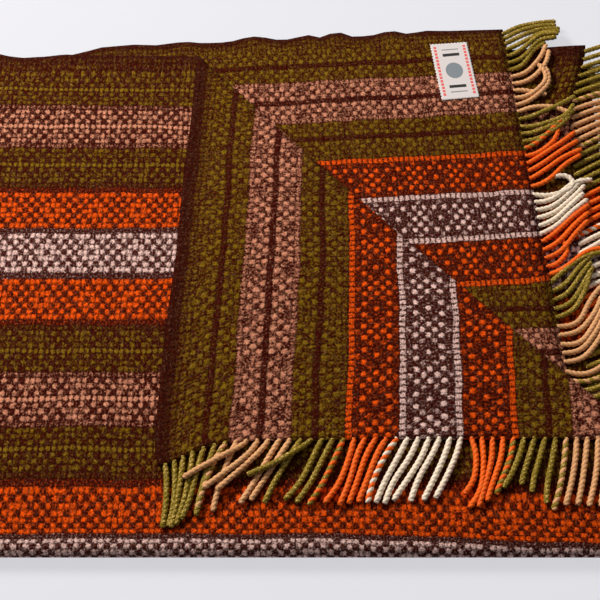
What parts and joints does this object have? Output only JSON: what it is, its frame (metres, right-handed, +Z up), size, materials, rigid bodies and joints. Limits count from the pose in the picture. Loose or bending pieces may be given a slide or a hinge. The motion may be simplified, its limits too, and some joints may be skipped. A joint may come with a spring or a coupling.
{
  "type": "blanket",
  "caption": "Striped two-faced woollen blanket folded into a flat stack, one corner of its top layer turned back, with twisted fringes along both ends and a small sewn label.",
  "frame": {"origin": "middle of the underside of the folded blanket, on the surface that it lies on", "axes": "+X to the right along the stripes, towards the fringed ends; +Y away from the near fold; +Z up"},
  "size_m": [1.0464, 0.7572, 0.0349],
  "materials": {
    "striped_wool": "matte",
    "fringe_yarn": "matte",
    "label_tape": "satin"
  },
  "bodies": {
    "root": {"blanket": "striped_wool", "fringe_turned_corner": "fringe_yarn", "fringe_top_layer": "fringe_yarn", "fringe_bottom_layer": "fringe_yarn", "fringe_second_layer": "fringe_yarn", "fringe_third_layer": "fringe_yarn", "sewn_label": "label_tape"}
  },
  "joints": []
}
